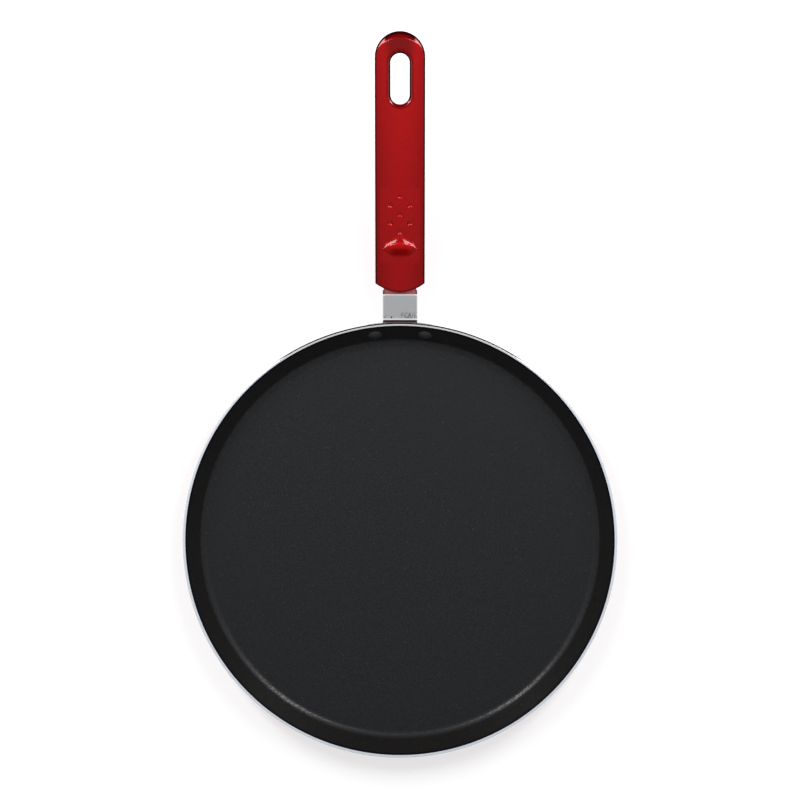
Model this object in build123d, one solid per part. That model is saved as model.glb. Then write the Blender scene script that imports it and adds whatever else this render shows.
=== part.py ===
from build123d import *
import os
from math import cos, radians, sin, sqrt, tan

# A low crepe pan: a spun aluminium pan, two rivets, a pressed steel bracket and a moulded handle.
# Sizes are in millimetres and angles in degrees. The origin is the centre of the underside, which
# stands on the hob. +Z is up, and +Y points from the pan along its handle.

# The pan
rim_diameter = 260.0
inside_depth = 15.0
base_thickness = 2.5
wall_thickness = 2.3
wall_slope = radians(60)
inner_corner_radius = 6.0
outer_corner_radius = 7.5
rim_edge_radius = 0.9
groove_count = 11
first_groove_radius = 22.0
groove_pitch = 8.0
groove_width = 1.6
groove_depth = 0.35

# The rivets, one each side of the handle
rivet_spacing = 30.0
rivet_height = 9.9
shank_diameter = 5.0
inner_head_diameter = 8.8
inner_head_height = 1.2
outer_head_diameter = 8.0
outer_head_height = 2.0
rivet_clearance = 0.05

# The bracket, an upside-down channel with an ear on each side
bracket_thickness = 1.8
neck_length = 18.3
neck_height = 20.4
neck_width = 20.6
neck_depth = 9.0
bend_radius = 1.5
rim_gap = 1.4
rim_end_radius = 1.6
ear_span = 44.0
ear_bottom = 4.4
ear_top = 13.6
ear_corner_radius = 4.0
ear_clearance = 0.05
apron_top = 15.4
step_length = 1.5
step_drop = 1.2
step_gap = 0.35
tang_length = 34.0
tang_width = 19.4
tang_depth = 7.5
collar_diameter = 8.0
collar_depth = 3.6

# The handle
handle_rise = radians(12)
handle_length = 152.6
handle_width = 29.4
handle_end_radius = 25.0
crown_radius = 45.0
crown_height = 1.8
depth_at_neck = 14.2
depth_at_tip = 11.2
top_edge_radius = 1.6
belly_edge_radius = 4.2
tip_setback = 3.6
tip_drop = 5.5
tip_ease = 0.2
tip_crease_radius = 1.0
slot_length = 30.0
slot_width = 11.3
slot_tip_wall = 12.5
slot_edge_radius = 1.7
socket_clearance = 0.15

# The thumb stop across the handle
stop_distance = 19.9
stop_face_length = 9.4
stop_ramp_length = 6.4
stop_width = 21.0
stop_height = 1.4
stop_sink = 0.06
stop_back_bow = 5.9
stop_crest_bow = 3.1
stop_front_bow = 8.8
stop_row_shares = ((0, 0, 1), (0.25, 0.12, 0.92), (0.5, 0.34, 0.81), (0.75, 0.64, 0.68), (1, 1, 0))
stop_face_shares = ((0, 0), (0.08, 0.07), (0.2, 0.29), (0.4, 0.62), (0.65, 0.88), (0.9, 0.99))
stop_ramp_shares = ((0.02, 0.985), (0.09, 0.82), (0.22, 0.54), (0.42, 0.25), (0.68, 0.06), (1, 0))

# The shallow dimples for grip
dimple_diameter = 3.0
dimple_depth = 0.5
dimple_row_distance = 35.9
dimple_row_pitch = 5.25
dimple_spacing = 12.0
dimple_row_counts = (1, 2, 1, 2, 1)

# The handle screw and its washers
screw_distance = 22.0
screw_diameter = 4.8
screw_head_diameter = 9.0
screw_head_height = 2.4
screw_clearance = 0.1
screw_passage = 5.6
screw_tip_gap = 0.4
cross_recess_width = 1.2
cross_recess_length = 5.2
cross_recess_depth = 1.7
counterbore_diameter = 11.4
counterbore_depth = 5.0
flat_washer_diameter = 10.0
flat_washer_thickness = 1.0
spring_washer_diameter = 8.8
spring_washer_thickness = 1.2
spring_washer_gap = 0.9
washer_bore = 5.3
washer_clearance = 0.05

# How far cutting tools reach past what they cut
overrun = 10.0

# Worked out from the values above
pan_height = base_thickness + inside_depth
rim_radius = rim_diameter / 2
rim_corner_radius = rim_radius + rim_edge_radius * (1 / tan(wall_slope / 2) - 1)
handle_start = rim_radius + neck_length
stack_thickness = wall_thickness + ear_clearance + bracket_thickness
slot_centre = handle_length - slot_tip_wall - slot_length / 2
handle_frame = Plane(
    origin=(0, handle_start, neck_height),
    x_dir=(0, cos(handle_rise), sin(handle_rise)),
    z_dir=(0, -sin(handle_rise), cos(handle_rise)),
)
upwards = (Align.CENTER, Align.CENTER, Align.MIN)
downwards = (Align.CENTER, Align.CENTER, Align.MAX)
along_and_up = (Align.MIN, Align.CENTER, Align.MIN)


def outer_radius(height, offset=0):
    """Radius at a height of the cone that lies an offset outside the pan's outer wall."""
    return rim_corner_radius - (pan_height - height) / tan(wall_slope) + offset / sin(wall_slope)


def inner_radius(height):
    """Radius at a height of the pan's inner wall."""
    return outer_radius(height, -wall_thickness)


def turned(profile):
    """A solid turned about the pan's axis from a closed line drawn in radius and height."""
    return revolve(Plane.XZ * make_face(profile), Axis.Z)


def wall_band(inner_offset, outer_offset):
    """A cone band as high as the pan, between two offsets from the wall's outside."""
    corners = [
        (outer_radius(0, inner_offset), 0),
        (outer_radius(0, outer_offset), 0),
        (outer_radius(pan_height, outer_offset), pan_height),
        (outer_radius(pan_height, inner_offset), pan_height),
    ]
    return turned(Polyline(*corners, close=True))


def across(outline, width):
    """A prism of a closed side view, drawn along and above the handle, centred across it."""
    return extrude(Plane.XZ * make_face(outline), width / 2, both=True)


def dome_radius(diameter, height):
    """Radius of the ball that a shallow cap is cut from."""
    return (diameter**2 / 4 + height**2) / (2 * height)


def rivet_head(diameter, height):
    """A low round head on the XY plane, with a short foot below it for trimming."""
    radius = dome_radius(diameter, height)
    foot = diameter**2 / rim_diameter
    post = Pos(0, 0, -foot) * Cylinder(diameter / 2, height + foot, align=upwards)
    return post & Pos(0, 0, height - radius) * Sphere(radius)


def rivet_frame(side):
    """Frame on the inside of the wall at a rivet, with Z pointing into the pan."""
    radius = inner_radius(rivet_height)
    sideways = side * rivet_spacing / 2
    outward = Vector(sideways, sqrt(radius**2 - sideways**2), 0) / radius
    up = Vector(0, 0, 1)
    inward = up * cos(wall_slope) - outward * sin(wall_slope)
    return Plane(outward * radius + up * rivet_height, x_dir=outward.cross(up), z_dir=inward)


def rivet_holes():
    """The holes for the shanks, through the wall and the ears alike."""
    hole = Cylinder(shank_diameter / 2 + rivet_clearance, 2 * (stack_thickness + overrun))
    return Part() + [rivet_frame(side) * hole for side in (-1, 1)]


def pan_body():
    """The pan: a flat floor, a low cone wall, a rounded rim and turned grooves below."""
    corners = [
        (0, 0),
        (outer_radius(0), 0),
        (rim_corner_radius, pan_height),
        (inner_radius(pan_height), pan_height),
        (inner_radius(base_thickness), base_thickness),
        (0, base_thickness),
    ]
    roundings = [0, outer_corner_radius, rim_edge_radius, 0, inner_corner_radius, 0]
    pan = turned(FilletPolyline(*corners, radius=roundings, close=True))
    tool_radius = dome_radius(groove_width, groove_depth)
    for index in range(groove_count):
        radius = first_groove_radius + index * groove_pitch
        pan -= Pos(0, 0, groove_depth - tool_radius) * Torus(radius, tool_radius)
    return pan - rivet_holes()


def rivet(side):
    """A rivet with a low head inside the pan and a formed head outside on the ear."""
    sheets = wall_band(
        -wall_thickness - rivet_clearance, ear_clearance + bracket_thickness + rivet_clearance
    )
    outside = Pos(0, 0, -stack_thickness) * Rot(X=180)
    inner_head = rivet_head(inner_head_diameter, inner_head_height)
    outer_head = outside * rivet_head(outer_head_diameter, outer_head_height)
    shank_length = stack_thickness + inner_head_height
    shank = Pos(0, 0, -stack_thickness / 2) * Cylinder(shank_diameter / 2, shank_length)
    return rivet_frame(side) * (inner_head + outer_head) - sheets + rivet_frame(side) * shank


def channel(width, upper, lower):
    """A channel open below: its web follows the upper line, and its sides reach the lower line."""
    outside = across(Polyline(*upper, *reversed(lower), close=True), width)
    bend_floor = min(height for _, height in upper) - bracket_thickness / 2
    bends = [e for e in outside.edges() if abs(e.center().Y) > width / 4 and e.center().Z > bend_floor]
    below = [(distance, height - bracket_thickness) for distance, height in upper]
    deep = [(distance, height - overrun) for distance, height in lower]
    inside = across(Polyline(*below, *reversed(deep), close=True), width - 2 * bracket_thickness)
    return fillet(bends, bend_radius) - inside


def to_handle(distance, height):
    """Distance along and height above the handle's frame of a place on the pan's middle plane."""
    place = handle_frame.to_local_coords(Vector(0, distance, height))
    return place.X, place.Z


def pan_clearance():
    """The room that the bracket leaves for the pan: tight at the ears, wider at the rim."""
    corners = [
        (0, -overrun),
        (outer_radius(-overrun, ear_clearance), -overrun),
        (outer_radius(ear_top, ear_clearance), ear_top),
        (outer_radius(ear_top) + rim_gap, ear_top),
        (rim_radius + rim_gap, pan_height),
        (rim_radius + rim_gap, pan_height + overrun),
        (0, pan_height + overrun),
    ]
    return turned(Polyline(*corners, close=True))


def wall_plate():
    """The plate on the pan's wall: an ear each side of the neck, and an apron up to its web."""
    height = ear_top - ear_bottom
    apron_height = apron_top - ear_bottom
    view = Pos(0, ear_bottom + height / 2) * RectangleRounded(ear_span, height, ear_corner_radius)
    view += Pos(0, ear_bottom + apron_height / 2) * Rectangle(neck_width - bracket_thickness, apron_height)
    band = wall_band(ear_clearance, ear_clearance + bracket_thickness)
    return band & extrude(Plane.XZ * view, -rim_diameter)


def tang():
    """The part of the bracket inside the handle, with a tapped collar for the screw."""
    root = -step_gap - bracket_thickness
    upper = [(root, -step_drop), (tang_length, -step_drop)]
    lower = [(root, -tang_depth), (tang_length, -tang_depth)]
    collar = Cylinder(collar_diameter / 2, collar_depth, align=downwards)
    thread = Cylinder(screw_diameter / 2 + screw_clearance, tang_length)
    plain = channel(tang_width, upper, lower) + Pos(screw_distance, 0, -step_drop) * collar
    return plain - Pos(screw_distance) * thread


def rim_end(arm):
    """The upper edge of the neck's web at the rim."""
    middle = [edge for edge in arm.edges() if abs(edge.center().X) < bend_radius]
    above_pan = [edge for edge in middle if edge.center().Y < handle_start]
    return max(above_pan, key=lambda edge: edge.center().Z - edge.center().Y)


def handle_bracket():
    """The pressed bracket: ears, neck, a small step down at the handle, and the tang."""
    wall_foot = outer_radius(ear_bottom)
    upper = [(-neck_length - overrun, 0), (-step_gap - step_length, 0), (-step_gap, -step_drop)]
    lower = [
        to_handle(wall_foot - overrun, ear_bottom),
        to_handle(wall_foot, ear_bottom),
        (-step_gap, -neck_depth),
    ]
    arm = handle_frame * (channel(neck_width, upper, lower) + tang()) - pan_clearance()
    return fillet(rim_end(arm), rim_end_radius) + wall_plate() - rivet_holes()


def crown_at(offset):
    """Height of the handle's crowned top at an offset from its centre line."""
    return crown_height - crown_radius + sqrt(crown_radius**2 - offset**2)


def underside_at(distance):
    """Height of the handle's underside at a distance along it."""
    depth = depth_at_neck + (depth_at_tip - depth_at_neck) * distance / handle_length
    return crown_height - depth


def handle_blank():
    """The handle's plain body: a crowned top, a tapering depth, a round tip and a bowed lower end."""
    half = handle_width / 2
    shoulder = handle_end_radius - sqrt(handle_end_radius**2 - half**2)
    tip_centre = handle_length - half
    plan = make_face(
        ThreePointArc((shoulder, -half), (0, 0), (shoulder, half))
        + Line((shoulder, half), (tip_centre, half))
        + ThreePointArc((tip_centre, half), (handle_length, 0), (tip_centre, -half))
        + Line((tip_centre, -half), (shoulder, -half))
    )
    ends = (-overrun, handle_length + overrun)
    side_view = [(end, underside_at(end)) for end in ends]
    side_view += [(end, crown_height + overrun) for end in reversed(ends)]
    crown = Pos(0, 0, crown_height - crown_radius) * Rot(Y=90) * Cylinder(crown_radius, 4 * handle_length)
    side = across(Polyline(*side_view, close=True), 2 * handle_width)
    body = extrude(plan, 2 * depth_at_neck, both=True) & side & crown
    body = fillet(body.faces().sort_by(Axis.Z)[0].edges(), belly_edge_radius)
    return fillet(body.faces().sort_by(Axis.Z)[-1].edges(), top_edge_radius)


def slot_rims(grip):
    """The upper and lower edges of the slot."""
    return [
        edge
        for edge in grip.edges()
        if abs(edge.center().X - slot_centre) < slot_length / 2
        and abs(edge.center().Y) < handle_width / 4
        and abs((edge % 0.5).Z) < abs((edge % 0.5).X) + abs((edge % 0.5).Y)
    ]


def tip_trim():
    """What the tip loses above a slanted face that falls away towards its end."""
    half = handle_width / 2
    low = crown_height - tip_drop
    rise = tip_drop + overrun
    slant = Vector(-tip_setback * rise / tip_drop, 0, rise)
    kept_view = Circle(half + tip_ease) + Pos(-half) * Rectangle(handle_width, 2 * handle_width)
    kept = extrude(Pos(handle_length - half, 0, low) * kept_view, slant.length, dir=slant)
    block = Box(handle_width, handle_width + overrun, rise, align=along_and_up)
    return Pos(handle_length - half - tip_setback, 0, low) * block - kept


def tip_crease(grip):
    """The edge where the crown meets the tip's slanted face."""
    near_tip = [edge for edge in grip.edges() if edge.center().X > handle_length - slot_tip_wall / 2]
    return max(near_tip, key=lambda edge: edge.center().Z)


def thumb_stop():
    """The lens-shaped mound: a domed face towards the pan, a bowed crest and a hollow ramp behind."""
    sections = []
    mirrored = [(-share, *others) for share, *others in reversed(stop_row_shares[1:])]
    for width_share, bow_share, height_share in (*mirrored, *stop_row_shares):
        offset = width_share * stop_width / 2
        back = stop_distance + stop_back_bow * width_share**2
        crest = stop_distance + stop_face_length - stop_crest_bow * bow_share
        front = stop_distance + stop_face_length + stop_ramp_length - stop_front_bow * bow_share
        ground = crown_at(offset) - stop_sink
        rise = (stop_height + stop_sink) * height_share
        top = [(back + (crest - back) * along, ground + rise * up) for along, up in stop_face_shares]
        top += [(crest + (front - crest) * along, ground + rise * up) for along, up in stop_ramp_shares]
        foot = ground - stop_height
        section = Spline(*top) + Polyline((front, ground), (front, foot), (back, foot), (back, ground))
        sections.append(Plane.XZ.offset(-offset) * make_face(section))
    return loft(sections)


def dimple_cutters():
    """Balls that press shallow dimples into the crown, in rows of one and two."""
    radius = dome_radius(dimple_diameter, dimple_depth)
    cutters = Part()
    for row, count in enumerate(dimple_row_counts):
        for place in range(count):
            offset = (place - (count - 1) / 2) * dimple_spacing
            place_on_crown = Pos(dimple_row_distance + row * dimple_row_pitch, offset, crown_at(offset))
            cutters += place_on_crown * Pos(0, 0, radius - dimple_depth) * Sphere(radius)
    return cutters


def socket():
    """The room for the tang on three sides of a core, and for the collar in the core's top."""
    height = tang_depth - step_drop + 2 * socket_clearance
    length = tang_length + socket_clearance + overrun
    wall = bracket_thickness + 2 * socket_clearance
    room = Box(length, tang_width + 2 * socket_clearance, height, align=along_and_up)
    core = Box(length, tang_width + 2 * socket_clearance - 2 * wall, height - wall, align=along_and_up)
    around_tang = Pos(-overrun, 0, -tang_depth - socket_clearance) * (room - core)
    recess_depth = collar_depth + socket_clearance
    recess = Cylinder(collar_diameter / 2 + socket_clearance, recess_depth, align=downwards)
    return around_tang + Pos(screw_distance, 0, -step_drop) * recess


def bearing_height():
    """Height of the counterbore's floor, which the flat washer bears on."""
    return underside_at(screw_distance) + counterbore_depth


def screw_hole():
    """The counterbore from below and the passage up through the core."""
    head_room = Cylinder(counterbore_diameter / 2, counterbore_depth + overrun, align=downwards)
    passage = Cylinder(screw_passage / 2, -step_drop - bearing_height(), align=upwards)
    return Pos(screw_distance, 0, bearing_height()) * (head_room + passage)


def handle_grip():
    """The moulded handle with its slot, slanted tip, thumb stop, dimples, socket and screw hole."""
    slot = extrude(Pos(slot_centre) * SlotOverall(slot_length, slot_width), 2 * depth_at_neck, both=True)
    grip = handle_blank() - slot
    grip = fillet(slot_rims(grip), slot_edge_radius) - tip_trim()
    grip = fillet(tip_crease(grip), tip_crease_radius)
    return handle_frame * (grip + thumb_stop() - dimple_cutters() - socket() - screw_hole())


def below_bearing(depth, shape):
    """A shape placed on the screw's axis, a depth below the counterbore's floor."""
    return handle_frame * Pos(screw_distance, 0, bearing_height() - depth) * shape


def washer(diameter, thickness):
    """A flat ring below the XY plane."""
    disc = Cylinder(diameter / 2, thickness, align=downwards)
    return disc - Cylinder(washer_bore / 2, thickness, align=downwards)


def flat_washer():
    """The flat washer that bears on the counterbore's floor."""
    return below_bearing(washer_clearance, washer(flat_washer_diameter, flat_washer_thickness))


def spring_washer():
    """The split spring washer, pressed flat under the flat one."""
    depth = flat_washer_thickness + 2 * washer_clearance
    split = Pos(spring_washer_diameter / 2) * Box(spring_washer_diameter, spring_washer_gap, overrun)
    return below_bearing(depth, washer(spring_washer_diameter, spring_washer_thickness) - split)


def handle_screw():
    """The screw that comes up from below into the collar, with a cross recess in its head."""
    depth = flat_washer_thickness + spring_washer_thickness + 3 * washer_clearance
    reach = -step_drop - screw_tip_gap - bearing_height() + depth
    head = Cylinder(screw_head_diameter / 2, screw_head_height, align=downwards)
    shank = Cylinder(screw_diameter / 2, reach, align=upwards)
    blade = Box(cross_recess_length, cross_recess_width, 2 * cross_recess_depth)
    cross = Pos(0, 0, -screw_head_height) * (blade + Rot(Z=90) * blade)
    return below_bearing(depth, head + shank - cross)


nodes = {
    "pan_body": pan_body(),
    "rivet_left": rivet(-1),
    "rivet_right": rivet(1),
    "handle_bracket": handle_bracket(),
    "handle_grip": handle_grip(),
    "handle_screw": handle_screw(),
    "spring_washer": spring_washer(),
    "flat_washer": flat_washer(),
}
os.makedirs("parts", exist_ok=True)
for name, shape in nodes.items():
    export_step(shape, f"parts/{name}.step")
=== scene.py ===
"""Looks of a low crepe pan: coated aluminium, a satin steel neck and a red lacquered handle.

Everything is in metres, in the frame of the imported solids: the origin is the centre of the pan's
underside, +Z is up and +Y points from the pan along its handle.
"""

import logging
import math
from dataclasses import dataclass, field
from enum import Enum
from typing import Callable, Union

import bmesh
import bpy
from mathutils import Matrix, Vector


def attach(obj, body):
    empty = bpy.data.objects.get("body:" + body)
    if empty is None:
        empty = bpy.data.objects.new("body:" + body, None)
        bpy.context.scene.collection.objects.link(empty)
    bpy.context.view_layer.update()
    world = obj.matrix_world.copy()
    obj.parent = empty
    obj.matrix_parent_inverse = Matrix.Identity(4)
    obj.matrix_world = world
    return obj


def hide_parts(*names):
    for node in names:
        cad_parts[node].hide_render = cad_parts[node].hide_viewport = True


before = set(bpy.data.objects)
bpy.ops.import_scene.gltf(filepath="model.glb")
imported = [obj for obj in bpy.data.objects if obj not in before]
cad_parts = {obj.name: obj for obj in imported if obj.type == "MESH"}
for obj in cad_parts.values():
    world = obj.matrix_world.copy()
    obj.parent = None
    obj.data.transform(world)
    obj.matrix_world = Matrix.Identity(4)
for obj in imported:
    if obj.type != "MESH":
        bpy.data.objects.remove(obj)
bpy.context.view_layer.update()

log = logging.getLogger("crepe_pan")

MM = 0.001
SMOOTH_ANGLE = math.radians(35)
HANDLE_RISE = math.radians(12)
WALL_SLOPE = math.radians(60)
UP = (0.0, 0.0, 1.0)
SIDEWAYS = (1.0, 0.0, 0.0)

# A Mix node has sockets for each kind of value, and these are its factor and its colours
MIX_FACTOR, MIX_FIRST, MIX_SECOND, MIX_RESULT = 0, 6, 7, 2

Number = Union[float, "Field"]
Colour = tuple[float, float, float]
Place = tuple[float, float, float]
Ring = tuple[float, float]
Band = tuple[float, float]


class Slot(Enum):
    """Material slot names listed beside the turned pieces; nothing reads them."""

    ALUMINIUM = "pan_aluminium"
    COATING = "pan_coating"
    ENAMEL = "pan_enamel"


class Field:
    """A value that varies over a surface, held as one socket of a node tree."""

    def __init__(self, tree: "ShaderTree", socket: bpy.types.NodeSocket) -> None:
        """Wraps a socket.

        Args:
            tree: The node tree that the socket is in.
            socket: The output socket that carries the value.
        """
        self.tree = tree
        self.socket = socket

    def __add__(self, other: Number) -> "Field":
        """The sum of this field and another value."""
        return self.tree.math("ADD", self, other)

    def __radd__(self, other: Number) -> "Field":
        """The sum of a number and this field."""
        return self.tree.math("ADD", other, self)

    def __sub__(self, other: Number) -> "Field":
        """This field less another value."""
        return self.tree.math("SUBTRACT", self, other)

    def __rsub__(self, other: Number) -> "Field":
        """A number less this field."""
        return self.tree.math("SUBTRACT", other, self)

    def __mul__(self, other: Number) -> "Field":
        """The product of this field and another value."""
        return self.tree.math("MULTIPLY", self, other)

    def __rmul__(self, other: Number) -> "Field":
        """The product of a number and this field."""
        return self.tree.math("MULTIPLY", other, self)

    def __truediv__(self, other: Number) -> "Field":
        """This field divided by another value."""
        return self.tree.math("DIVIDE", self, other)

    def __gt__(self, other: Number) -> "Field":
        """One where this field is the larger, else zero."""
        return self.tree.math("GREATER_THAN", self, other)

    def __abs__(self) -> "Field":
        """This field without its sign."""
        return self.tree.math("ABSOLUTE", self, 0.0)

    def larger(self, other: Number) -> "Field":
        """The larger of this field and another value."""
        return self.tree.math("MAXIMUM", self, other)

    def root(self) -> "Field":
        """The square root of this field."""
        return self.tree.math("SQRT", self, 0.0)

    def sine(self) -> "Field":
        """The sine of this field."""
        return self.tree.math("SINE", self, 0.0)

    def swing(self, width: float) -> "Field":
        """This pattern, between zero and one, as a swing of a given width about zero."""
        return (self - 0.5) * width

    def ramp(self, low: float, high: float) -> "Field":
        """A smooth step from zero at low to one at high.

        Args:
            low: Where the step starts.
            high: Where the step ends.

        Returns:
            The step, clamped at both ends.
        """
        settings = {"interpolation_type": "SMOOTHSTEP"}
        sockets = {"Value": self, "From Min": low, "From Max": high}
        return self.tree.add("ShaderNodeMapRange", settings, sockets, "Result")

    def fall(self, low: float, high: float) -> "Field":
        """A smooth step from one at low down to zero at high."""
        return 1.0 - self.ramp(low, high)

    def stripe(self, rise: Band, fall: Band) -> "Field":
        """One between a rise and a fall, and zero on both sides of them."""
        return self.ramp(*rise) * self.fall(*fall)


class ShaderTree:
    """A node tree that is written as expressions, for a material or the world."""

    def __init__(self, tree: bpy.types.NodeTree) -> None:
        """Keeps the tree.

        Args:
            tree: The node tree to add nodes to.
        """
        self.tree = tree

    def plug(self, socket: bpy.types.NodeSocket, value: object) -> None:
        """Sets or links an input socket.

        Args:
            socket: The input socket.
            value: A field to link, or a constant to set.
        """
        if isinstance(value, Field):
            self.tree.links.new(value.socket, socket)
        elif socket.type == "RGBA":
            socket.default_value = (*value, 1.0)
        else:
            socket.default_value = value

    def add(self, kind: str, settings: dict, sockets: dict, output: Union[str, int]) -> Field:
        """Adds any node.

        Args:
            kind: The node's type.
            settings: The node's own settings, which are set first.
            sockets: Input sockets by name or index, with their links or constants.
            output: The name or index of the output socket that is wanted.

        Returns:
            That output as a field.
        """
        node = self.tree.nodes.new(kind)
        for name, value in settings.items():
            setattr(node, name, value)
        for name, value in sockets.items():
            self.plug(node.inputs[name], value)
        return Field(self, node.outputs[output])

    def math(self, operation: str, first: Number, second: Number) -> Field:
        """Adds a Math node.

        Args:
            operation: The node's operation.
            first: Its first value.
            second: Its second value.

        Returns:
            The result.
        """
        return self.add("ShaderNodeMath", {"operation": operation}, {0: first, 1: second}, 0)

    def axes(self, vector: Field) -> tuple[Field, ...]:
        """A vector's parts along X, Y and Z.

        Args:
            vector: The vector.

        Returns:
            The three parts.
        """
        parts = self.add("ShaderNodeSeparateXYZ", {}, {"Vector": vector}, "X").socket.node.outputs
        return tuple(Field(self, parts[axis]) for axis in "XYZ")

    def mix(self, share: Number, first: object, second: object, blend: str = "MIX") -> Field:
        """Mixes two colours.

        Args:
            share: How much of the second colour shows.
            first: The first colour.
            second: The second colour.
            blend: The blend type.

        Returns:
            The mixed colour.
        """
        settings = {"data_type": "RGBA", "blend_type": blend}
        sockets = {MIX_FACTOR: share, MIX_FIRST: first, MIX_SECOND: second}
        return self.add("ShaderNodeMix", settings, sockets, MIX_RESULT)

    def layer(self, ground: object, layers: list[tuple[Number, object]]) -> Field:
        """Lays colours over a ground, each through its own mask.

        Args:
            ground: The colour underneath.
            layers: Pairs of a mask and a colour, from the lowest up.

        Returns:
            The colour that shows.
        """
        colour = ground
        for share, over in layers:
            colour = self.mix(share, colour, over)
        return colour

    def noise(self, place: Field, scale: float, detail: float, roughness: float = 0.5) -> Field:
        """A noise pattern between zero and one.

        Args:
            place: The coordinates that it is read at.
            scale: Its scale, in waves to the metre.
            detail: How many finer layers it has.
            roughness: How strong the finer layers are.

        Returns:
            The pattern.
        """
        sockets = {"Vector": place, "Scale": scale, "Detail": detail, "Roughness": roughness}
        return self.add("ShaderNodeTexNoise", {}, sockets, "Fac")

    def cells(self, place: Field, scale: float, output: str = "Distance") -> Field:
        """A pattern of scattered cells.

        Args:
            place: The coordinates that it is read at.
            scale: Its scale, in cells to the metre.
            output: Distance for the distance to the cell's centre, Color for a colour of its own.

        Returns:
            The pattern.
        """
        return self.add("ShaderNodeTexVoronoi", {}, {"Vector": place, "Scale": scale}, output)


class Surface(ShaderTree):
    """A material built around one Principled shader."""

    def __init__(self, name: str) -> None:
        """Starts a material.

        Args:
            name: The material's name.
        """
        self.material = bpy.data.materials.new(name)
        self.material.use_nodes = True
        super().__init__(self.material.node_tree)
        self.shader = self.tree.nodes["Principled BSDF"]
        self.place = self.add("ShaderNodeTexCoord", {}, {}, "Object")
        self.x, self.y, self.z = self.axes(self.place)

    def radius(self) -> Field:
        """Distance from the pan's axis."""
        return (self.x * self.x + self.y * self.y).root()

    def stretched(self, scale: Place, turn: float) -> Field:
        """Object coordinates stretched along the axes, after a turn about X.

        Args:
            scale: The scale along each axis.
            turn: The turn about X, in radians.

        Returns:
            The coordinates.
        """
        sockets = {"Vector": self.place, "Rotation": (turn, 0.0, 0.0)}
        turned = self.add("ShaderNodeMapping", {}, sockets, "Vector")
        return self.add("ShaderNodeMapping", {}, {"Vector": turned, "Scale": scale}, "Vector")

    def facing(self, direction: Place) -> Field:
        """How far the surface faces a direction, from one down to minus one.

        Args:
            direction: The direction, one unit long.

        Returns:
            The cosine of the angle between them.
        """
        normal = self.add("ShaderNodeTexCoord", {}, {}, "Normal")
        product = {"operation": "DOT_PRODUCT"}
        return self.add("ShaderNodeVectorMath", product, {0: normal, 1: direction}, "Value")

    def cell_value(self, scale: float, channel: str) -> Field:
        """A random number for each of many scattered cells.

        Args:
            scale: The scale, in cells to the metre.
            channel: The channel of the cells' random colours that gives the number.

        Returns:
            The numbers, between zero and one.
        """
        colours = self.cells(self.place, scale, "Color")
        return self.add("ShaderNodeSeparateColor", {}, {"Color": colours}, channel)

    def bump(self, height: Field, distance: float, strength: float) -> None:
        """Raises the surface's normal by a height pattern.

        Args:
            height: The pattern, between zero and one.
            distance: The height that one stands for, in metres.
            strength: How much of it shows.
        """
        sockets = {"Height": height, "Distance": distance, "Strength": strength}
        self.plug(self.shader.inputs["Normal"], self.add("ShaderNodeBump", {}, sockets, "Normal"))

    def set(self, **inputs: object) -> None:
        """Sets the shader's sockets.

        Args:
            **inputs: Socket names in lower case with underscores, and their links or constants.
        """
        names = {socket.name.lower().replace(" ", "_"): socket for socket in self.shader.inputs}
        for name, value in inputs.items():
            self.plug(names[name], value)


def grey(level: float) -> Colour:
    """A grey of one level."""
    return (level, level, level)


def dimmed(colour: Colour, share: float) -> Colour:
    """A share of a colour's brightness."""
    return tuple(channel * share for channel in colour)


@dataclass(frozen=True)
class CoatingLayers:
    """What one layer of the non-stick coating gives a shader."""

    colour: Field
    roughness: Field
    grain: Field
    gloss: Field


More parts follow.
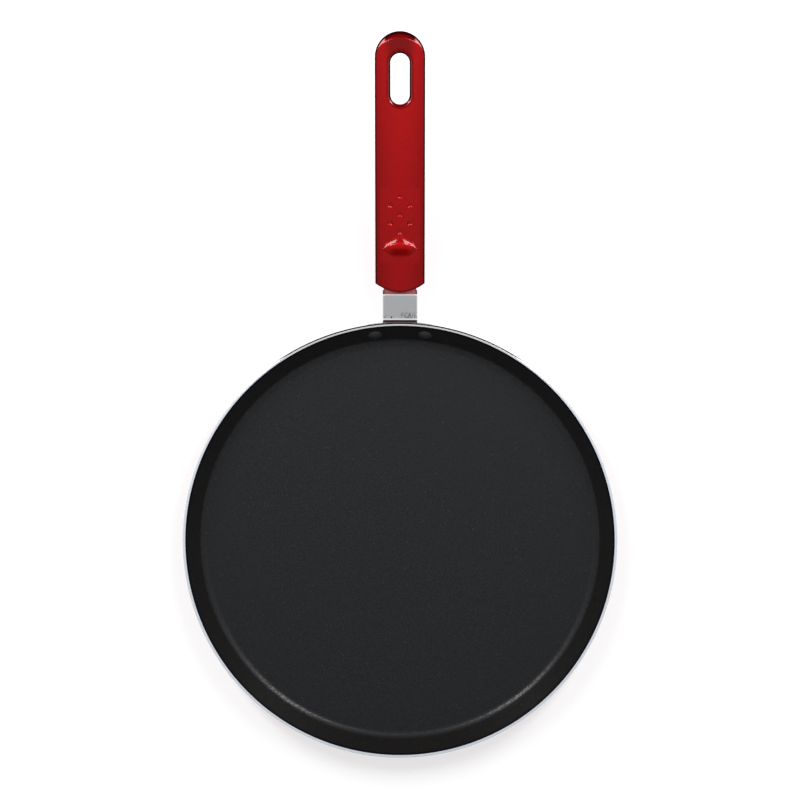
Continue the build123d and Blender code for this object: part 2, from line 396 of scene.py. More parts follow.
@dataclass(frozen=True)
class NonStickCoating:
    """A near-black satin coating with a fine speckle, a sandblasted grain and painted shade."""

    tone: Colour = (0.0132, 0.0138, 0.0155)
    shaded_wall_tone: Colour = (0.0092, 0.0084, 0.0078)
    painted_rim_shade: Colour = (0.0012, 0.0021, 0.0062)
    fleck: Colour = (0.03, 0.031, 0.034)
    grain_hollow: Colour = grey(0.64)
    grain_top: Colour = grey(1.38)
    edge_height: Band = (16.0 * MM, 16.35 * MM)
    level: Band = (0.6, 0.98)
    grain_scale: float = 1500.0
    grain_spread: Band = (0.3, 0.72)
    cloud_scale: float = 60.0
    patch_scale: float = 820.0
    patch_spread: Band = (0.35, 0.65)
    fleck_scale: float = 700.0
    fleck_size: Band = (0.18, 0.42)
    fleck_choice: Band = (0.93, 1.0)
    roughness: float = 0.44
    cloud_roughness: float = 0.06
    grain_roughness: float = 0.16
    specular: float = 0.15
    gloss: float = 0.28
    least_gloss: float = 0.25
    patch_gloss: float = 1.4
    edge_dulling: float = 0.8
    coat_roughness: float = 0.23
    grain_height: float = 0.06 * MM

    def lay(self, surface: Surface) -> CoatingLayers:
        """Builds the coating's colour, roughness, grain and gloss.

        Args:
            surface: The material that it is laid on.

        Returns:
            The layers.
        """
        grain = surface.noise(surface.place, self.grain_scale, detail=3.0, roughness=0.7)
        cloud = surface.noise(surface.place, self.cloud_scale, detail=3.0)
        patch = surface.noise(surface.place, self.patch_scale, detail=2.0, roughness=0.6)
        spot = surface.cells(surface.place, self.fleck_scale).fall(*self.fleck_size)
        flecks = spot * surface.cell_value(self.fleck_scale, "Red").ramp(*self.fleck_choice)
        # painted shade: a near-black bluish line where the coating rolls over at the rim, which
        # also dulls its gloss
        shaded_rolled_edge = surface.z.ramp(*self.edge_height)
        # painted shade: the wall gets a darker, warmer tone than the floor, by which way it faces
        tone = surface.mix(surface.facing(UP).ramp(*self.level), self.shaded_wall_tone, self.tone)
        grain_shade = surface.mix(
            grain.ramp(*self.grain_spread), self.grain_hollow, self.grain_top
        )
        grainy = surface.mix(1.0, tone, grain_shade, "MULTIPLY")
        patchy = self.least_gloss + patch.ramp(*self.patch_spread) * self.patch_gloss
        roughness = self.roughness + cloud.swing(self.cloud_roughness)
        return CoatingLayers(
            colour=surface.layer(grainy, [(flecks, self.fleck), (shaded_rolled_edge, self.painted_rim_shade)]),
            roughness=roughness + grain.swing(self.grain_roughness),
            grain=grain,
            gloss=self.gloss * (1.0 - shaded_rolled_edge * self.edge_dulling) * patchy,
        )

    def material(self) -> bpy.types.Material:
        """Lays the coating on the inside of the pan.

        Returns:
            The coating's material.
        """
        surface = Surface("non_stick_coating")
        laid = self.lay(surface)
        surface.set(
            base_color=laid.colour,
            roughness=laid.roughness,
            specular_ior_level=self.specular,
            coat_weight=laid.gloss,
            coat_roughness=self.coat_roughness,
        )
        surface.bump(laid.grain, self.grain_height, strength=0.45)
        return surface.material


@dataclass(frozen=True)
class MachinedAluminium:
    """Bare aluminium with turned lines: bright on the rim, duller on the base, with painted shade
    and reflection.
    """

    tone: Colour = (0.86, 0.9, 0.93)
    base_tone: Colour = (0.42, 0.42, 0.43)
    handle_reflection_tone: Colour = (0.58, 0.54, 0.55)
    shaded: Colour = (0.005, 0.0035, 0.004)
    line_pitch: float = 0.35 * MM
    line_height: float = 0.02 * MM
    scratch_scale: float = 900.0
    scratch_spread: Band = (0.25, 0.75)
    scratch_shade: float = 0.9
    base_height: float = 2.0 * MM
    inner_edge: Band = (128.15 * MM, 128.3 * MM)
    inner_edge_height: Band = (16.9 * MM, 17.1 * MM)
    outer_edge: Band = (129.1 * MM, 129.3 * MM)
    outer_edge_height: Band = (16.0 * MM, 16.2 * MM)
    shaded_from: Band = (98.0 * MM, 112.0 * MM)
    handle_reflection_from: Band = (90.0 * MM, 125.0 * MM)

    def material(self) -> bpy.types.Material:
        """Builds the aluminium of the rim and the underside.

        Returns:
            The aluminium's material.
        """
        surface = Surface("machined_aluminium")
        radius = surface.radius()
        lines = (radius * (math.tau / self.line_pitch)).sine() * 0.5 + 0.5
        scratches = surface.noise(surface.place, self.scratch_scale, detail=4.0, roughness=0.65)
        under = surface.z.fall(0.0, self.base_height)
        scratched = dimmed(self.tone, self.scratch_shade)
        bright = surface.mix(scratches.ramp(*self.scratch_spread), scratched, self.tone)
        # painted reflection and shade: the rim turns greyer and pinker towards the handle
        handle_reflection = surface.y.ramp(*self.handle_reflection_from)
        # painted shade: near-black lines on the rim's inner edge, and on its outer edge near the
        # handle, made fully metallic there
        inner_edge = radius.fall(*self.inner_edge) * surface.z.ramp(*self.inner_edge_height)
        outer_edge = radius.ramp(*self.outer_edge) * surface.z.ramp(*self.outer_edge_height)
        outer_edge = outer_edge * surface.y.ramp(*self.shaded_from)
        layers = [
            (under * 0.5, self.base_tone),
            (handle_reflection * 0.6, self.handle_reflection_tone),
            (inner_edge, self.shaded),
            (outer_edge, self.shaded),
        ]
        surface.set(
            base_color=surface.layer(bright, layers),
            metallic=0.3 + outer_edge * 0.7,
            roughness=0.15 + under * 0.2 + scratches.swing(0.1),
        )
        surface.bump(lines * 0.6 + scratches * 0.4, self.line_height, strength=0.2)
        return surface.material


@dataclass(frozen=True)
class ExteriorEnamel:
    """Dark red metallic enamel on the outside of the wall."""

    tone: Colour = (0.2, 0.006, 0.01)
    flake: Colour = (0.42, 0.03, 0.035)
    flake_scale: float = 3200.0
    flake_choice: Band = (0.55, 1.0)
    peel_scale: float = 700.0
    peel_height: float = 0.02 * MM

    def material(self) -> bpy.types.Material:
        """Builds the enamel.

        Returns:
            The enamel's material.
        """
        surface = Surface("exterior_enamel")
        shine = surface.cell_value(self.flake_scale, "Green").ramp(*self.flake_choice)
        orange_peel = surface.noise(surface.place, self.peel_scale, detail=2.0)
        surface.set(
            base_color=surface.mix(shine, self.tone, self.flake),
            metallic=0.35,
            roughness=0.38 + orange_peel.swing(0.08),
            coat_weight=1.0,
            coat_roughness=0.06,
        )
        surface.bump(orange_peel, self.peel_height, strength=0.25)
        return surface.material


@dataclass
class HandlePlaces:
    """Masks for the places on the handle where shade and highlights are painted: its edges, its
    slot, its tip and its thumb stop.

    A band in MM is a place along or across the handle. Any other band is the cosine of the angle
    between the surface and a direction.
    """

    surface: Surface
    slot_middle: float = 270.6 * MM
    slot_straight: float = 18.3 * MM
    slot_half_width: float = 5.65 * MM
    tip_centre: float = 283.2 * MM
    tip_front: Band = (280.0 * MM, 287.0 * MM)
    relief_foot: Band = (163.0 * MM, 167.0 * MM)
    relief_side: Band = (11.2 * MM, 12.4 * MM)
    stop_end_top: Band = (181.0 * MM, 184.0 * MM)
    dimples_top: Band = (207.0 * MM, 210.0 * MM)
    crest: Band = (174.5 * MM, 176.0 * MM)
    brow: tuple[Band, Band] = ((171.5 * MM, 174.5 * MM), (176.5 * MM, 178.0 * MM))
    face_shadow: tuple[Band, Band] = ((167.8 * MM, 170.5 * MM), (171.5 * MM, 176.5 * MM))
    toward_pan: Band = (140.0 * MM, 300.0 * MM)

    def __post_init__(self) -> None:
        """Measures how the surface faces and how far it lies from the handle's middle plane."""
        rise, run = math.sin(HANDLE_RISE), math.cos(HANDLE_RISE)
        self.upward = self.surface.facing((0.0, -rise, run))
        self.along = self.surface.facing((0.0, run, rise))
        self.backward = 0.0 - self.along
        self.sideways = abs(self.surface.facing(SIDEWAYS))
        self.aside = abs(self.surface.x)
        self.top = self.upward.ramp(0.02, 0.15)

    def relief(self, end: Band) -> Field:
        """One on the crown from the thumb stop's foot up to an end, short of the edges."""
        return self.surface.y.stripe(self.relief_foot, end) * self.aside.fall(*self.relief_side)

    def depth(self) -> Field:
        """How much painted shade darkens the red.

        Returns:
            One on steep sides, less on the thumb stop's face, and some towards the pan.
        """
        above = self.upward.ramp(-0.1, 0.15)
        relief = self.relief(self.dimples_top)
        steep = self.upward.fall(0.55, 0.95) * above * (1.0 - self.backward.ramp(0.8, 0.96) * 0.8)
        turned = self.sideways.ramp(0.0, 0.62) * (1.0 - relief * 0.6)
        lying = turned * above * 0.7 + self.surface.y.fall(*self.toward_pan) * 0.24
        return (steep * (1.0 - relief * 0.5)).larger(lying)

    def side_edge(self) -> Field:
        """One on the rounded edges along the handle's sides, but not on the thumb stop, where
        near-black shade is painted.
        """
        return self.sideways.ramp(0.4, 0.65) * self.top * (1.0 - self.relief(self.stop_end_top))

    def stop_end(self) -> Field:
        """One on the steep ends of the thumb stop's crest, where its coat shines and a highlight
        is painted.

        Returns:
            The mask.
        """
        steep = self.upward.fall(0.8, 0.95) * self.along.ramp(-0.05, 0.1)
        outer = self.aside.ramp(6.5 * MM, 8.0 * MM)
        return steep * self.relief(self.stop_end_top) * outer * self.top

    def stop_crest(self) -> Field:
        """One on the rounding along the thumb stop's crest, which is painted darker.

        Returns:
            The mask.
        """
        rounding = self.upward.fall(0.94, 0.99) * self.surface.y.ramp(*self.crest)
        return self.relief(self.stop_end_top) * rounding * self.top

    def stop_brow(self) -> Field:
        """One on the upper part of the thumb stop's face, up to its crest, where brighter red is
        painted as light.
        """
        return self.surface.y.stripe(*self.brow) * self.aside.fall(4.0 * MM, 10.0 * MM) * self.top

    def stop_shadow(self) -> Field:
        """One low down on the thumb stop's face.

        Returns:
            The mask, which falls off towards the face's crest, foot and ends.
        """
        middle = self.backward.ramp(0.0, 0.1) * self.aside.fall(2.5 * MM, 9.5 * MM)
        return self.surface.y.stripe(*self.face_shadow) * middle * self.top

    def from_slot(self) -> Field:
        """Distance from the slot's wall, over the handle's top.

        Returns:
            The distance.
        """
        past_middle = abs(self.surface.y - self.slot_middle) - self.slot_straight / 2
        past_end = past_middle.larger(0.0)
        reach = (self.surface.x * self.surface.x + past_end * past_end).root()
        return reach - self.slot_half_width

    def from_tip_centre(self) -> Field:
        """Distance from the centre of the round tip.

        Returns:
            The distance, and zero on the pan's side of that centre.
        """
        past_centre = (self.surface.y - self.tip_centre).larger(0.0)
        reach = (self.surface.x * self.surface.x + past_centre * past_centre).root()
        return reach * past_centre.ramp(0.0, 0.5 * MM)

    def tip_shade(self) -> Field:
        """One on the middle of the handle's tip, between its slot and its slanted end."""
        middle = self.aside.fall(5.0 * MM, 11.0 * MM)
        return self.surface.y.ramp(*self.tip_front) * middle * self.top


@dataclass(frozen=True)
class MetallicLacquer:
    """The handle's red lacquer: fine metal flakes under a clear glossy coat, with painted shade
    and highlights.
    """

    tone: Colour = (0.45, 0.0078, 0.0085)
    flake: Colour = (0.63, 0.017, 0.018)
    painted_deep_shade: Colour = (0.07, 0.0009, 0.0014)
    painted_red_shade: Colour = (0.2, 0.0012, 0.001)
    painted_black_shade: Colour = (0.02, 0.0008, 0.002)
    painted_highlight: Colour = (0.9, 0.12, 0.12)
    shade: Colour = (0.11, 0.008, 0.008)
    # painted light on the upper part of the thumb stop's face
    bright: Colour = (0.62, 0.008, 0.009)
    painted_slot_sheen: Colour = (0.2, 0.06, 0.06)
    metal_edge: Colour = (0.4, 0.02, 0.02)
    flake_scale: float = 4200.0
    flake_choice: Band = (0.6, 1.0)
    peel_scale: float = 450.0
    peel_height: float = 0.02 * MM
    slant_facing: Band = (0.68, 0.93)
    level: Band = (0.55, 0.95)
    crease: Band = (9.6 * MM, 10.4 * MM)
    slant: Band = (9.8 * MM, 10.8 * MM)
    slant_dark: Band = (11.6 * MM, 13.8 * MM)
    wedge_side: Band = (8.2 * MM, 9.8 * MM)
    wedge_end: Band = (13.4 * MM, 14.0 * MM)
    lip: Band = (1.8 * MM, 2.7 * MM)
    throat: Band = (0.4 * MM, 1.0 * MM)
    sheen: tuple[Band, Band] = ((0.7 * MM, 1.0 * MM), (1.3 * MM, 1.7 * MM))
    sheen_facing: Band = (0.12, 0.25)
    crest_side: Band = (1.5 * MM, 3.0 * MM)
    lip_side: Band = (3.0 * MM, 4.6 * MM)
    thin_coat: float = 0.005
    level_coat: float = 0.045
    tip_coat: float = 0.09
    stop_end_coat: float = 0.5
    crest_coat: float = 0.05
    lip_coat: float = 0.5
    wedge_coat: float = 0.9

    def material(self) -> bpy.types.Material:
        """Builds the lacquer.

        Returns:
            The lacquer's material.
        """
        surface = Surface("metallic_lacquer")
        handle = HandlePlaces(surface)
        shine = surface.cell_value(self.flake_scale, "Blue").ramp(*self.flake_choice)
        orange_peel = surface.noise(surface.place, self.peel_scale, detail=2.0)
        flaked = surface.mix(shine * 0.6, self.tone, self.flake)

        past_tip = handle.from_tip_centre()
        slant = handle.upward.fall(*self.slant_facing) * past_tip.ramp(*self.slant) * handle.top
        wedge = slant * handle.aside.ramp(*self.wedge_side) * past_tip.fall(*self.wedge_end)
        from_slot = handle.from_slot()
        lip = from_slot.fall(*self.lip) * handle.top
        throat = from_slot.fall(*self.throat) * handle.top
        sheen = from_slot.stripe(*self.sheen) * handle.top
        sheen = sheen * handle.sideways.ramp(*self.sheen_facing)
        stop_end, crest, shadow = handle.stop_end(), handle.stop_crest(), handle.stop_shadow()
        slant_end = slant * past_tip.ramp(*self.slant_dark)
        dark = (throat * 0.9).larger(handle.side_edge()).larger(slant_end)
        layers = [
            # painted shade: a darker red on steep sides and towards the pan
            (handle.depth(), self.painted_deep_shade),
            (handle.tip_shade() * 0.7, self.shade),
            # painted light: a brighter red on the upper part of the stop's face
            (handle.stop_brow(), self.bright),
            # painted shade: a darker red on the stop's crest, low on its face, round the slot and
            # on the slanted tip
            (crest * 0.55, self.painted_red_shade),
            # painted highlight: pale pink on the ends of the stop's crest
            (stop_end, self.painted_highlight),
            (shadow * 0.85, self.painted_red_shade),
            (lip * 0.85, self.painted_red_shade),
            # painted reflection: a greyish line on the slot's rounded wall
            (sheen * 0.8, self.painted_slot_sheen),
            (slant, self.painted_red_shade),
            # painted shade: near-black in the slot's throat, along the side edges and low on the
            # slanted tip
            (dark, self.painted_black_shade),
            # painted highlight: pale pink on the two sides of the slanted tip
            (wedge, self.painted_highlight),
        ]

        polish = (handle.along + handle.aside * 10.0).ramp(0.34, 0.5)
        polish = polish * handle.along.ramp(0.15, 0.25)
        level_coat = self.level_coat * (1.0 - shadow)
        level_coat = level_coat + polish * past_tip.fall(*self.crease) * self.tip_coat
        coats = [
            handle.upward.ramp(*self.level) * level_coat,
            stop_end * self.stop_end_coat,
            crest * handle.aside.ramp(*self.crest_side) * self.crest_coat,
            polish * lip * handle.aside.ramp(*self.lip_side) * self.lip_coat,
            wedge * self.wedge_coat,
        ]
        surface.set(
            base_color=surface.layer(flaked, layers),
            metallic=0.5 * (1.0 - dark * 0.9) * (1.0 - crest * 0.8),
            roughness=0.36 + orange_peel.swing(0.06),
            specular_ior_level=0.0,
            specular_tint=self.metal_edge,
            coat_weight=sum(coats, self.thin_coat),
            coat_ior=2.6,
            coat_roughness=0.05,
        )
        surface.bump(orange_peel, self.peel_height, strength=0.12)
        return surface.material


@dataclass(frozen=True)
class SatinSteel:
    """Pressed steel with a fine grain along the handle, a few scuffs by the rim, and painted
    highlights, shade and reflection.
    """

    tone: Colour = (0.525, 0.53, 0.535)
    painted_edge_highlight: Colour = (0.95, 0.93, 0.93)
    painted_red_reflection: Colour = (0.5, 0.16, 0.17)
    painted_red_reflection_edge: Colour = (0.08, 0.006, 0.012)
    crevice_shade_foot: Colour = (0.16, 0.11, 0.13)
    crevice_shade_top: Colour = (0.008, 0.003, 0.004)
    mark: Colour = (0.02, 0.02, 0.023)
    stretch: Place = (1.0, 0.06, 1.0)
    grain_scale: float = 5200.0
    grain_height: float = 0.03 * MM
    cloud_scale: float = 220.0
    scratch_scale: float = 520.0
    speck_scale: float = 420.0
    patch_middle: float = 5.0 * MM
    patch_side: Band = (3.0 * MM, 5.5 * MM)
    patch_end: Band = (134.5 * MM, 137.0 * MM)
    foot_end: Band = (133.0 * MM, 134.5 * MM)
    marks_start: Band = (132.5 * MM, 132.8 * MM)
    nick_place: Ring = (-5.1 * MM, 133.2 * MM)
    nick_size: Band = (0.3 * MM, 0.75 * MM)
    rim_end: Band = (132.0 * MM, 133.2 * MM)
    rim_end_height: Band = (15.5 * MM, 16.5 * MM)
    step: tuple[Band, Band] = ((146.0 * MM, 146.3 * MM), (146.6 * MM, 146.9 * MM))
    red_reflection_start: Band = (146.6 * MM, 147.0 * MM)
    red_reflection_side: Band = (8.6 * MM, 9.6 * MM)
    crevice: tuple[Band, Band] = ((129.8 * MM, 130.0 * MM), (131.4 * MM, 131.7 * MM))
    crevice_middle: Band = (130.7 * MM, 131.1 * MM)
    crevice_height: Band = (12.5 * MM, 14.0 * MM)

    def marks(self, surface: Surface, cloud: Field) -> Field:
        """Scuffs and one nick by the rim.

        Args:
            surface: The steel's surface.
            cloud: The steel's coarse noise, which breaks up the scuffs.

        Returns:
            One on the marks.
        """
        wander = surface.noise(surface.place, self.scratch_scale, detail=3.0, roughness=0.6)
        scratches = abs(wander - 0.5).fall(0.01, 0.045)
        specks = surface.cells(surface.place, self.speck_scale).fall(0.14, 0.3)
        patch = abs(surface.x - self.patch_middle).fall(*self.patch_side)
        patch = patch * surface.y.fall(*self.patch_end)
        foot = cloud.ramp(0.5, 0.6) * surface.y.fall(*self.foot_end)
        worn = (patch + foot) * surface.y.ramp(*self.marks_start)
        beside, past = surface.x - self.nick_place[0], surface.y - self.nick_place[1]
        nick = (beside * beside + past * past).root().fall(*self.nick_size)
        return (scratches.larger(specks) * worn).larger(nick)

    def material(self) -> bpy.types.Material:
        """Builds the steel.

        Returns:
            The steel's material.
        """
        surface = Surface("satin_steel")
        x, y, z = surface.x, surface.y, surface.z
        along = surface.stretched(self.stretch, -HANDLE_RISE)
        grain = surface.noise(along, self.grain_scale, detail=3.0, roughness=0.6)
        cloud = surface.noise(surface.place, self.cloud_scale, detail=3.0)
        marks = self.marks(surface, cloud)
        plain = surface.mix(grain.swing(0.25) + cloud * 0.3, self.tone, dimmed(self.tone, 0.8))
        rim_end = y.fall(*self.rim_end) * z.ramp(*self.rim_end_height)
        # painted reflection: the red handle's end seen in the step under it, a near-black red at
        # its sides
        painted_red_reflection = surface.mix(abs(x).ramp(*self.red_reflection_side), self.painted_red_reflection, self.painted_red_reflection_edge)
        # painted shade and reflection in the gap by the rim: purplish grey on the rim's side,
        # near-black towards the neck
        shade = surface.mix(y.ramp(*self.crevice_middle), self.crevice_shade_foot, self.crevice_shade_top)
        layers = [
            # painted highlight: pale lines on the neck's rounded end by the rim and on the bend of
            # its step
            (rim_end.larger(y.stripe(*self.step)), self.painted_edge_highlight),
            (y.ramp(*self.red_reflection_start), painted_red_reflection),
            (y.stripe(*self.crevice) * z.ramp(*self.crevice_height), shade),
            (marks, self.mark),
        ]
        surface.set(
            base_color=surface.layer(plain, layers),
            metallic=0.6,
            roughness=0.42 + grain.swing(0.16) + marks * 0.2,
        )
        surface.bump(grain * 0.5 + (1.0 - marks) * 0.5, self.grain_height, strength=0.3)
        return surface.material


@dataclass(frozen=True)
class RivetFinish:
    """Aluminium rivets that were coated with the pan's inside."""

    coating: NonStickCoating
    worn_coating: Colour = (0.036, 0.033, 0.035)
    metal: Colour = (0.66, 0.665, 0.67)
    coated_foot: float = 118.6 * MM
    hammer_scale: float = 1400.0
    grain_height: float = 0.05 * MM

    def material(self) -> bpy.types.Material:
        """Puts coating on the heads inside the pan, and leaves bare metal outside.

        Returns:
            The rivets' material.
        """
        surface = Surface("coated_rivet")
        laid = self.coating.lay(surface)
        foot = surface.radius() - surface.z * (1 / math.tan(WALL_SLOPE))
        bare = foot > self.coated_foot
        hammered = surface.noise(surface.place, self.hammer_scale, detail=3.0)
        coated = surface.mix(0.5, laid.colour, self.worn_coating)
        surface.set(
            base_color=surface.mix(bare, coated, self.metal),
            metallic=bare,
            roughness=laid.roughness * (1.0 - bare) + (0.28 + hammered * 0.14) * bare,
        )
        surface.bump(laid.grain, self.grain_height, strength=0.3)
        return surface.material


@dataclass(frozen=True)
class ZincPlate:
    """Bright zinc on the screw and its washers."""

    tone: Colour = (0.56, 0.57, 0.58)
    cloud_scale: float = 900.0
    cloud_height: float = 0.02 * MM

    def material(self) -> bpy.types.Material:
        """Builds the zinc.

        Returns:
            The zinc's material.
        """
        surface = Surface("zinc_plate")
        cloud = surface.noise(surface.place, self.cloud_scale, detail=3.0)
        surface.set(
            base_color=surface.mix(cloud.ramp(0.35, 0.7), self.tone, dimmed(self.tone, 0.78)),
            metallic=1.0,
            roughness=0.24 + cloud * 0.14,
        )
        surface.bump(cloud, self.cloud_height, strength=0.2)
        return surface.material


def dress(piece: bpy.types.Object, material: bpy.types.Material) -> None:
    """Gives a piece one material all over.

    Args:
        piece: The piece.
        material: The material.
    """
    piece.data.materials.clear()
    piece.data.materials.append(material)
    for face in piece.data.polygons:
        face.material_index = 0


def deselect_all() -> None:
    """Leaves nothing selected."""
    bpy.ops.object.select_all(action="DESELECT")


def close_up() -> None:
    """Turns all faces of the shape in edit mode outwards, leaves edit mode and smooths it."""
    bpy.ops.mesh.select_all(action="SELECT")
    bpy.ops.mesh.normals_make_consistent(inside=False)
    bpy.ops.object.mode_set(mode="OBJECT")
    bpy.ops.object.shade_smooth_by_angle(angle=SMOOTH_ANGLE)


@dataclass
class Lathe:
    """Turns a closed piece from a disc, ring by ring, as on a spinning lathe."""

    name: str
    segments: int = 288

    def turn(self, rings: list[Ring]) -> bpy.types.Object:
        """Extrudes a disc through rings and closes the last one.

        Args:
            rings: Radius and height of each ring, from the first disc's edge to the last one's.

        Returns:
            The closed piece, at the origin.
        """
        deselect_all()
        radius, height = rings[0]
        bpy.ops.mesh.primitive_circle_add(
            vertices=self.segments, radius=radius, fill_type="NGON", location=(0, 0, height)
        )
        piece = bpy.context.object
        piece.name = self.name
        bpy.ops.object.transform_apply(location=True)
        bpy.ops.object.mode_set(mode="EDIT")
        bpy.ops.mesh.select_mode(type="EDGE")
        bpy.ops.mesh.select_all(action="SELECT")
        bpy.ops.mesh.region_to_loop()
        for next_radius, next_height in rings[1:]:
            lift = {"value": (0, 0, next_height - height)}
            bpy.ops.mesh.extrude_edges_move(TRANSFORM_OT_translate=lift)
            scale = next_radius / radius
            centre = (0, 0, next_height)
            bpy.ops.transform.resize(value=(scale, scale, 1), center_override=centre)
            radius, height = next_radius, next_height
        bpy.ops.mesh.edge_face_add()
        close_up()
        return piece

    def turn_band(self, rings: list[Ring]) -> bpy.types.Object:
        """Turns an endless band: its last ring is joined to its first.

        Args:
            rings: Radius and height of each ring of its section, in order.

        Returns:
            The closed band.
        """
        piece = self.turn(rings)
        deselect_all()
        piece.select_set(True)
        bpy.context.view_layer.objects.active = piece
        bpy.ops.object.mode_set(mode="EDIT")
        bpy.ops.mesh.select_mode(type="FACE")
        bpy.ops.mesh.select_all(action="DESELECT")
        shape = bmesh.from_edit_mesh(piece.data)
        for face in shape.faces:
            face.select_set(len(face.verts) == self.segments)
        bmesh.update_edit_mesh(piece.data)
        bpy.ops.mesh.delete(type="FACE")
        bpy.ops.mesh.select_mode(type="EDGE")
        bpy.ops.mesh.select_all(action="DESELECT")
        bpy.ops.mesh.select_non_manifold()
        bpy.ops.mesh.bridge_edge_loops()
        close_up()
        return piece


def arc(centre: Ring, radius: float, start: float, end: float, steps: int) -> list[Ring]:
    """Points on an arc in radius and height.

    Args:
        centre: The arc's centre.
        radius: Its radius.
        start: Its first angle, in radians from straight outwards.
        end: Its last angle.
        steps: How many steps it has.

    Returns:
        The points, both ends included.
    """
    angles = [start + (end - start) * step / steps for step in range(steps + 1)]
    return [(centre[0] + radius * math.cos(a), centre[1] + radius * math.sin(a)) for a in angles]


@dataclass
class Pan:
    """The pan: an aluminium shell, the coating inside it and the enamel outside."""

    rim_radius: float = 130 * MM
    height: float = 17.5 * MM
    base: float = 2.5 * MM
    wall: float = 2.3 * MM
    slope: float = WALL_SLOPE
    inner_corner: float = 6 * MM
    outer_corner: float = 7.5 * MM
    rim_edge: float = 0.9 * MM
    rim_inner_edge: float = 0.08 * MM
    groove_count: int = 11
    first_groove: float = 22 * MM
    groove_pitch: float = 8 * MM
    groove_width: float = 1.6 * MM
    groove_depth: float = 0.35 * MM
    groove_shoulder: float = 0.75
    skin: float = 0.04 * MM
    skin_root: float = 0.02 * MM
    coating_stop: float = 0.06 * MM
    enamel_stop: float = 1.6 * MM
    enamel_start: float = 0.5 * MM
    corner_steps: int = 12
    pieces: list[bpy.types.Object] = field(default_factory=list)

    @property
    def rim_corner(self) -> float:
        """Radius of the rim's outer corner before its rounding."""
        return self.rim_radius + self.rim_edge * (1 / math.tan(self.slope / 2) - 1)

    @property
    def middle(self) -> float:
        """Radius of the plain disc that each skin and the shell start from."""
        return self.first_groove / 2

    def outer(self, height: float) -> float:
        """Radius of the outer wall at a height."""
        return self.rim_corner - (self.height - height) / math.tan(self.slope)

    def inner(self, height: float) -> float:
        """Radius of the inner wall at a height."""
        return self.outer(height) - self.wall / math.sin(self.slope)

    def outer_corner_arc(self, offset: float = 0.0) -> list[Ring]:
        """The rounded corner between base and wall, from the base up.

        Args:
            offset: How far outside the shell it lies.

        Returns:
            The corner's rings.
        """
        centre = (self.outer(0) - self.outer_corner * math.tan(self.slope / 2), self.outer_corner)
        radius, end = self.outer_corner + offset, self.slope - math.pi / 2
        return arc(centre, radius, -math.pi / 2, end, self.corner_steps)

    def inner_corner_arc(self, offset: float = 0.0) -> list[Ring]:
        """The rounded corner between wall and floor, from the wall down.

        Args:
            offset: How far inside the pan it lies from the shell.

        Returns:
            The corner's rings.
        """
        foot = self.inner(self.base) - self.inner_corner * math.tan(self.slope / 2)
        centre = (foot, self.base + self.inner_corner)
        radius, start = self.inner_corner - offset, self.slope - math.pi / 2
        return arc(centre, radius, start, -math.pi / 2, self.corner_steps)

    def groove_rings(self) -> list[Ring]:
        """The turned grooves of the underside, from the middle outwards.

        Returns:
            Five rings for each groove.
        """
        half, shoulder = self.groove_width / 2, self.groove_depth * self.groove_shoulder
        section = [(-half, 0.0), (-half / 2, shoulder), (0.0, self.groove_depth)]
        section += [(half / 2, shoulder), (half, 0.0)]
        middles = [self.first_groove + n * self.groove_pitch for n in range(self.groove_count)]
        return [(middle + aside, depth) for middle in middles for aside, depth in section]

    def rim_rings(self) -> list[Ring]:
        """The rim: a rounded outer edge, a flat machined top and a broken inner edge.

        Returns:
            The rim's rings, from the outer wall to the inner one.
        """
        radius = self.rim_corner - self.rim_edge / math.tan(self.slope / 2)
        centre = (radius, self.height - self.rim_edge)
        start = self.slope - math.pi / 2
        rounded = arc(centre, self.rim_edge, start, math.pi / 2, self.corner_steps)
        inner_edge = self.inner(self.height)
        top = (inner_edge + self.rim_inner_edge, self.height)
        return rounded + [top, (inner_edge, self.height - self.rim_inner_edge)]

    def shell(self) -> bpy.types.Object:
        """Turns the aluminium shell.

        Returns:
            The shell.
        """
        outside = [(self.middle, 0.0)] + self.groove_rings() + self.outer_corner_arc()
        inside = self.rim_rings() + self.inner_corner_arc() + [(self.middle, self.base)]
        return Lathe("pan_shell").turn(outside + inside)

    def on_wall(self, height: float, offset: float) -> Ring:
        """A place an offset into the pan from its inner wall."""
        across, up = offset * math.sin(self.slope), offset * math.cos(self.slope)
        return self.inner(height) - across, height + up

    def off_wall(self, height: float, offset: float) -> Ring:
        """A place an offset outside the pan's outer wall."""
        across, down = offset * math.sin(self.slope), offset * math.cos(self.slope)
        return self.outer(height) + across, height - down

    def coating(self) -> bpy.types.Object:
        """Turns the coating's thin skin over the floor and the wall.

        Returns:
            The skin.
        """
        top = self.height - self.coating_stop
        back = [(self.middle, self.base - self.skin_root)]
        back += reversed(self.inner_corner_arc(-self.skin_root))
        lip = [self.on_wall(top, -self.skin_root), self.on_wall(top, self.skin)]
        face = self.inner_corner_arc(self.skin) + [(self.middle, self.base + self.skin)]
        return Lathe("pan_coating").turn(back + lip + face)

    def enamel(self) -> bpy.types.Object:
        """Turns the enamel's thin skin over the outside of the wall.

        Returns:
            The skin.
        """
        start, top = self.enamel_start, self.height - self.enamel_stop
        face = [ring for ring in self.outer_corner_arc(self.skin) if ring[1] > start]
        back = [ring for ring in self.outer_corner_arc(-self.skin_root) if ring[1] > start]
        lip = [self.off_wall(top, self.skin), self.off_wall(top, -self.skin_root)]
        return Lathe("pan_enamel").turn_band(face + lip + back[::-1])

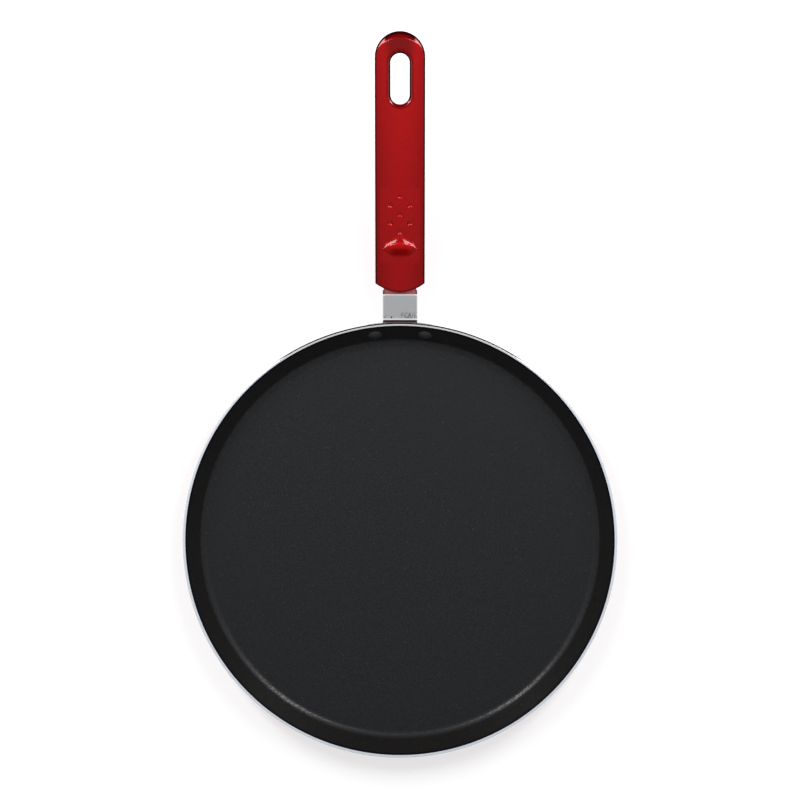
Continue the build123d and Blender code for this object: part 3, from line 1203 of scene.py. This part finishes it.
    def build(self) -> None:
        """Makes and dresses the pan's pieces."""
        makers: list[tuple[Callable[[], bpy.types.Object], bpy.types.Material, Slot]] = [
            (self.shell, MachinedAluminium().material(), Slot.ALUMINIUM),
            (self.coating, NonStickCoating().material(), Slot.COATING),
            (self.enamel, ExteriorEnamel().material(), Slot.ENAMEL),
        ]
        for make, material, slot in makers:
            piece = make()
            dress(piece, material)
            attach(piece, "root")
            self.pieces.append(piece)
            log.info("%s: %d faces", piece.name, len(piece.data.polygons))
        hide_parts("pan_body")


@dataclass
class CarriedNodes:
    """The solids whose shape is right and that only need their finish."""

    def build(self) -> None:
        """Dresses the rivets, the bracket, the handle and its fasteners."""
        rivet = RivetFinish(NonStickCoating()).material()
        zinc = ZincPlate().material()
        finishes = {
            "rivet_left": rivet,
            "rivet_right": rivet,
            "handle_bracket": SatinSteel().material(),
            "handle_grip": MetallicLacquer().material(),
            "handle_screw": zinc,
            "spring_washer": zinc,
            "flat_washer": zinc,
        }
        for node, material in finishes.items():
            dress(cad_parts[node], material)
            log.info("%s: %d faces", node, len(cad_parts[node].data.polygons))


@dataclass
class Studio:
    """The pale floor, the soft lights and the camera straight above."""

    camera_place: Place = (0.0, 83.8 * MM, 1210.5 * MM)
    view_angle: float = math.radians(22.64)
    sensor_width: float = 36.0
    farthest: float = 100.0
    aim: Place = (0.0, 60.0 * MM, 10.0 * MM)
    lamp_places: tuple[Place, Place] = ((0.402, 0.497, 0.62), (-0.457, 0.526, 0.665))
    lamp_width: float = 0.166
    lamp_height: float = 0.66
    lamp_powers: tuple[float, float] = (4.2, 4.8)
    floor_size: float = 40.0
    floor_tone: Colour = grey(0.54)
    floor_cloud: Colour = grey(0.52)
    floor_glow: Colour = grey(0.86)
    far_glow: Colour = (1.0, 1.0, 1.02)
    far_from: Band = (0.8, 4.0)
    sky_level: float = 0.3
    horizon_level: float = 0.5
    front_level: float = 0.13
    sky_tint: Colour = (0.98, 1.0, 1.05)

    def camera(self) -> None:
        """Adds the camera, which looks straight down with the handle up the picture."""
        deselect_all()
        bpy.ops.object.camera_add(location=self.camera_place, rotation=(0, 0, 0))
        camera = bpy.context.object
        camera.data.sensor_width = self.sensor_width
        camera.data.angle = self.view_angle
        camera.data.clip_end = self.farthest
        bpy.context.scene.camera = camera

    def lamps(self) -> None:
        """Adds the two tall soft lamps, to the left and right beyond the handle's tip."""
        for index, (corner, power) in enumerate(zip(self.lamp_places, self.lamp_powers)):
            deselect_all()
            bpy.ops.object.light_add(type="AREA", location=corner)
            lamp = bpy.context.object
            lamp.name = f"softbox_{index}"
            beam = Vector(self.aim) - Vector(corner)
            lamp.rotation_euler = beam.to_track_quat("-Z", "Y").to_euler()
            lamp.data.shape = "RECTANGLE"
            lamp.data.size = self.lamp_width
            lamp.data.size_y = self.lamp_height
            lamp.data.energy = power

    def floor(self) -> None:
        """Adds the plain pale floor, whose far part is as pale as the sky behind it."""
        deselect_all()
        bpy.ops.mesh.primitive_plane_add(size=self.floor_size, location=(0, 0, 0))
        floor = bpy.context.object
        floor.name = "floor"
        surface = Surface("pale_floor")
        cloud = surface.noise(surface.place, scale=3.0, detail=2.0)
        far = surface.radius().ramp(*self.far_from)
        surface.set(
            base_color=surface.mix(cloud * 0.1, self.floor_tone, self.floor_cloud),
            roughness=0.9,
            specular_ior_level=0.0,
            emission_color=surface.mix(far, self.floor_glow, self.far_glow),
            emission_strength=0.7,
        )
        dress(floor, surface.material)

    def surroundings(self) -> None:
        """Lights the object from all round.

        The sky is paler near the horizon and on the side of the pan, and has a dimmer gap beyond
        the handle's tip.
        """
        world = bpy.data.worlds.new("studio")
        bpy.context.scene.world = world
        world.use_nodes = True
        tree = ShaderTree(world.node_tree)
        x, y, z = tree.axes(tree.add("ShaderNodeTexCoord", {}, {}, "Generated"))
        flat = (x * x + y * y + 0.0001).root()
        toward_handle = y / flat
        front = toward_handle.fall(-0.9, -0.2)
        horizon = z.fall(0.2, 0.42) * self.horizon_level * (1.0 - front * 0.8)
        gap = toward_handle.ramp(0.85, 0.95) * z.ramp(-0.02, 0.08)
        level = horizon + self.sky_level + front * z.fall(0.8, 0.97) * self.front_level
        level = level * (1.0 - gap * 0.7)
        channels = zip(("Red", "Green", "Blue"), self.sky_tint)
        shades = {channel: level * share for channel, share in channels}
        sky = tree.add("ShaderNodeCombineColor", {}, shades, "Color")
        background = world.node_tree.nodes["Background"]
        tree.plug(background.inputs["Color"], sky)
        background.inputs["Strength"].default_value = 1.0

    def build(self) -> None:
        """Makes the whole studio."""
        self.camera()
        self.lamps()
        self.floor()
        self.surroundings()
        bpy.context.scene.view_settings.view_transform = "Standard"


def main() -> None:
    """Builds the pan, dresses the carried solids and sets up the studio."""
    logging.basicConfig(level=logging.INFO)
    Pan().build()
    CarriedNodes().build()
    Studio().build()


if __name__ == "__main__":
    main()
